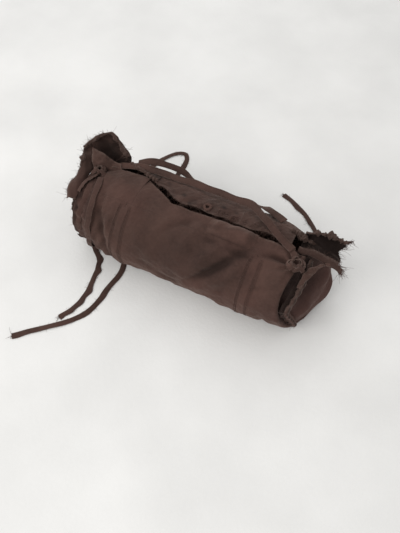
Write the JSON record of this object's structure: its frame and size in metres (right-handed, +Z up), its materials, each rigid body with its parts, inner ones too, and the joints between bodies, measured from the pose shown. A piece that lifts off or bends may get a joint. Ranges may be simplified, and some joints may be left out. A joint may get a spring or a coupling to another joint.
{
  "type": "rope storage bag",
  "caption": "Soft barrel-shaped cloth bag lying on its side, with a slit mouth along the top, gathered ends, two strap handles and torn-strip ties.",
  "frame": {"origin": "on the floor under the middle of the bag, halfway across its width", "axes": "+X along the bag from its tied left end to its right end, +Y from front to back, +Z up"},
  "size_m": [0.4288, 0.4434, 0.152],
  "materials": {
    "panel_cloth": "matte",
    "end_cloth": "matte",
    "band_cloth": "matte",
    "seam_cloth": "matte",
    "lip_cloth": "matte",
    "hood_cloth": "matte",
    "cuff_cloth": "matte",
    "strap_cloth": "satin",
    "tie_cloth": "matte",
    "tail_cloth": "matte",
    "loop_thread": "matte"
  },
  "bodies": {
    "bag": {"front_left_panel": "panel_cloth", "front_middle_panel": "panel_cloth", "front_right_panel": "panel_cloth", "back_left_panel": "panel_cloth", "back_middle_panel": "panel_cloth", "back_right_panel": "panel_cloth", "left_shoulder": "panel_cloth", "right_shoulder": "panel_cloth", "right_flap": "panel_cloth", "left_end_panel": "end_cloth", "right_end_panel": "end_cloth", "front_left_band": "band_cloth", "front_right_band": "band_cloth", "back_left_band": "band_cloth", "back_right_band": "band_cloth", "left_side_seam": "seam_cloth", "left_corner_seam": "seam_cloth", "right_side_seam": "seam_cloth", "right_corner_seam": "seam_cloth", "left_tie_wrap": "tie_cloth", "left_tie_strand": "tie_cloth", "left_tie_knot": "tie_cloth", "right_tie_knot": "tie_cloth", "left_gusset": "hood_cloth"},
    "back_lip": {"back_lip": "lip_cloth"},
    "front_lip": {"front_lip": "lip_cloth", "front_hem": "lip_cloth"},
    "closure_loop": {"closure_loop": "loop_thread"},
    "left_hood": {"left_hood": "hood_cloth"},
    "right_cuff": {"right_cuff": "cuff_cloth"},
    "front_handle": {"front_handle": "strap_cloth"},
    "back_handle": {"back_handle": "strap_cloth"},
    "left_short_tail": {"left_short_tail": "tail_cloth"},
    "left_long_tail": {"left_long_tail": "tail_cloth"},
    "right_tail": {"right_tail": "tail_cloth"},
    "back_tail": {"back_tail": "tail_cloth"}
  },
  "joints": [
    {"name": "back_lip_open", "type": "hinge", "parent": "bag", "child": "back_lip", "pos_m": [0, 0.03662, 0.11727], "axis": [-1, 0, 0], "range_deg": [0, 75]},
    {"name": "front_lip_open", "type": "hinge", "parent": "bag", "child": "front_lip", "pos_m": [0, -0.02668, 0.12102], "axis": [1, 0, 0], "range_deg": [0, 120]},
    {"name": "loop_flip", "type": "hinge", "parent": "back_lip", "child": "closure_loop", "pos_m": [0, 0.00685, 0.12682], "axis": [1, 0, 0], "range_deg": [0, 160]},
    {"name": "hood_fold", "type": "hinge", "parent": "bag", "child": "left_hood", "pos_m": [-0.19, 0.04577, 0.09928], "axis": [-0.9567, 0.0029, -0.2911], "range_deg": [0, 80]},
    {"name": "cuff_fold", "type": "hinge", "parent": "bag", "child": "right_cuff", "pos_m": [0.152, 0.02, 0.12331], "axis": [0, -1, 0], "range_deg": [0, 60]},
    {"name": "front_handle_lift", "type": "hinge", "parent": "bag", "child": "front_handle", "pos_m": [-0.1644, 0.025, 0.1174], "axis": [0.9935, -0.1104, 0.0262], "range_deg": [0, 110]},
    {"name": "back_handle_lift", "type": "hinge", "parent": "bag", "child": "back_handle", "pos_m": [-0.1394, 0.0534, 0.1114], "axis": [0.9981, -0.0548, 0.0291], "range_deg": [0, 70]},
    {"name": "left_short_tail_swing", "type": "hinge", "parent": "bag", "child": "left_short_tail", "pos_m": [-0.169, -0.0522, 0.0125], "axis": [0, 0, 1], "range_deg": [-30, 0]},
    {"name": "left_long_tail_swing", "type": "hinge", "parent": "bag", "child": "left_long_tail", "pos_m": [-0.119, -0.0454, 0.001], "axis": [0, 0, 1], "range_deg": [0, 35]},
    {"name": "right_tail_swing", "type": "hinge", "parent": "bag", "child": "right_tail", "pos_m": [0.172, 0.0578, 0.071], "axis": [0, 0, 1], "range_deg": [-40, 0]},
    {"name": "back_tail_swing", "type": "hinge", "parent": "bag", "child": "back_tail", "pos_m": [-0.152, 0.0743, 0.0849], "axis": [0, 0, 1], "range_deg": [0, 20]}
  ]
}
